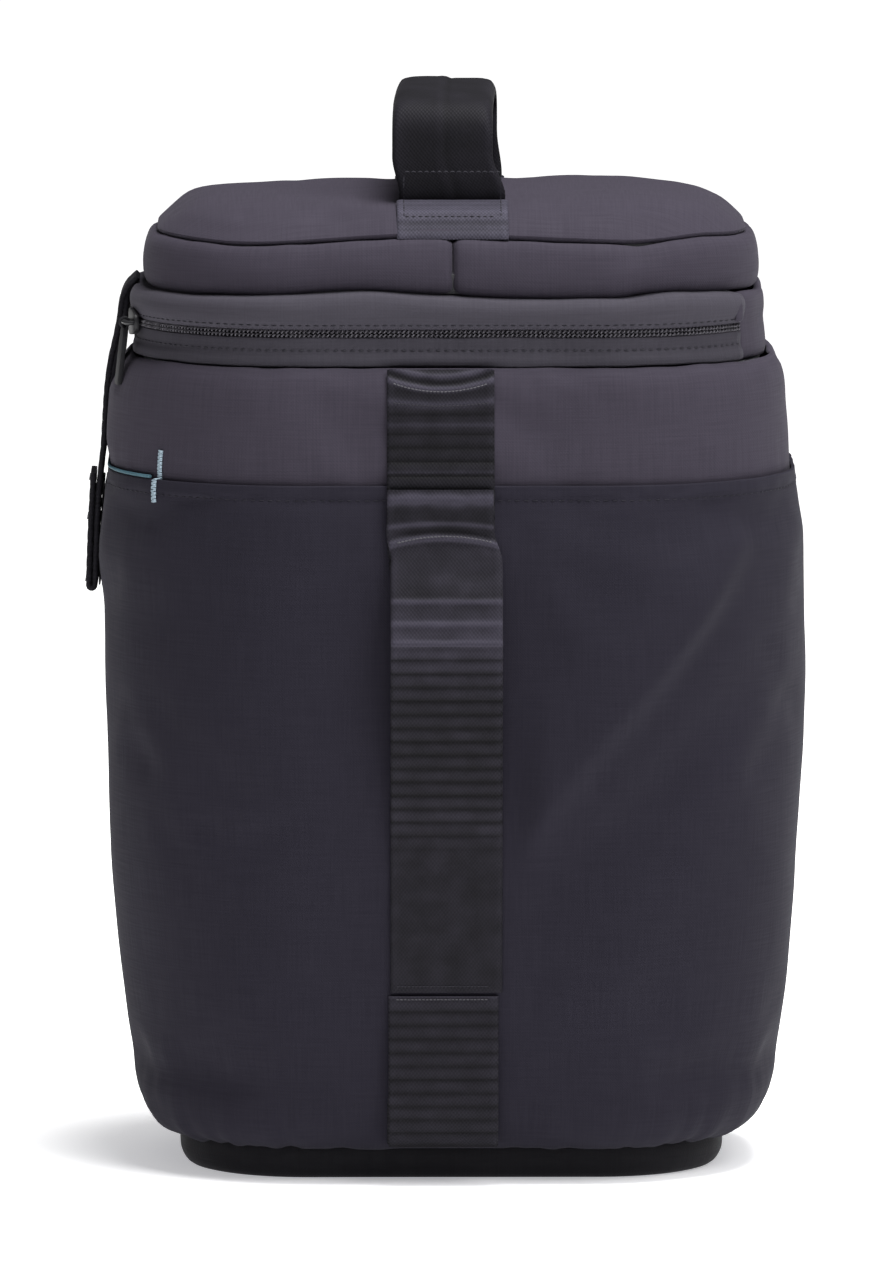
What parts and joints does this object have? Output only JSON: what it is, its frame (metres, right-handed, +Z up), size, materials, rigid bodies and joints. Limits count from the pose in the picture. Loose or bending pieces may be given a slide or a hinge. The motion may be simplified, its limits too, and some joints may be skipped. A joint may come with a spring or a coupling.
{
  "type": "soft food canister bag",
  "caption": "Upright soft-sided insulated canister bag with a side-opening zipped lid, webbing carry handle, webbing grab strips front and back, side pocket and stiff base.",
  "frame": {"origin": "centre of the flat underside of the base, where the bag stands", "axes": "+Z up; -Y towards the front grab strip; +X towards the lid's fabric hinge; the zip sliders, closure strap and side pocket are at -X"},
  "size_m": [0.2453, 0.204, 0.3703],
  "materials": {
    "sleeve_fabric": "matte",
    "yoke_fabric": "matte",
    "band_tape": "matte",
    "zip_coil": "satin",
    "webbing": "matte",
    "boot": "matte",
    "foam": "matte",
    "liner_film": "satin",
    "stiffener": "matte",
    "bar_tack_thread": "matte",
    "slider_metal": "satin",
    "puller_cord": "matte",
    "hook_and_loop": "matte"
  },
  "bodies": {
    "body": {"base_boot": "boot", "base_board": "stiffener", "base_foam": "foam", "wall_foam": "foam", "liner_tub": "liner_film", "rim_binding": "band_tape", "body_sleeve": "sleeve_fabric", "body_yoke": "yoke_fabric", "pocket_lining": "sleeve_fabric", "pocket_binding": "bar_tack_thread", "pocket_tack_front": "bar_tack_thread", "pocket_tack_back": "bar_tack_thread", "loop_patch": "hook_and_loop", "zip_tape_lower": "band_tape", "zip_coil_lower": "zip_coil", "hinge_gusset": "band_tape", "front_webbing": "webbing", "front_grab_loop": "webbing", "front_low_loop": "webbing", "back_webbing": "webbing", "back_grab_loop": "webbing", "back_low_loop": "webbing"},
    "lid": {"zip_tape_upper": "band_tape", "zip_coil_upper": "zip_coil", "zip_end_front": "band_tape", "zip_end_back": "band_tape", "lid_band_left": "yoke_fabric", "lid_band_right": "yoke_fabric", "lid_top_panel": "yoke_fabric", "lid_foam": "foam", "lid_liner": "liner_film", "handle_anchor_front": "webbing", "handle_anchor_back": "webbing", "handle_foot_front": "webbing", "handle_foot_back": "webbing"},
    "handle": {"handle_grip": "webbing"},
    "closure": {"closure_strap": "webbing", "hook_patch": "hook_and_loop"},
    "slider_front": {"zip_slider_front": "slider_metal"},
    "slider_back": {"zip_slider_back": "slider_metal"},
    "puller_front": {"zip_puller_front": "puller_cord"},
    "puller_back": {"zip_puller_back": "puller_cord"}
  },
  "joints": [
    {"name": "lid_hinge", "type": "hinge", "parent": "body", "child": "lid", "pos_m": [0.1075, 0, 0.29185], "axis": [0, 1, 0], "range_deg": [0, 135], "deforming": ["hinge_gusset"]},
    {"name": "handle_swing", "type": "hinge", "parent": "lid", "child": "handle", "pos_m": [0, 0, 0.3365], "axis": [0, 1, 0], "range_deg": [-55, 55], "deforming": ["handle_foot_front", "handle_foot_back"]},
    {"name": "strap_peel", "type": "hinge", "parent": "lid", "child": "closure", "pos_m": [-0.108, 0, 0.305], "axis": [0, 1, 0], "range_deg": [0, 100]},
    {"name": "slider_front_travel", "type": "hinge", "parent": "body", "child": "slider_front", "pos_m": [-0.0498, -0.0187, 0.29185], "axis": [0, 0, 1], "range_deg": [0, 75]},
    {"name": "slider_back_travel", "type": "hinge", "parent": "body", "child": "slider_back", "pos_m": [-0.0498, 0.0187, 0.29185], "axis": [0, 0, -1], "range_deg": [0, 75]},
    {"name": "puller_front_swing", "type": "hinge", "parent": "slider_front", "child": "puller_front", "pos_m": [-0.11191, -0.0319, 0.29185], "axis": [-0.2079, 0.9781, 0], "range_deg": [0, 150]},
    {"name": "puller_back_swing", "type": "hinge", "parent": "slider_back", "child": "puller_back", "pos_m": [-0.11191, 0.0319, 0.29185], "axis": [0.2079, 0.9781, 0], "range_deg": [0, 150]}
  ]
}
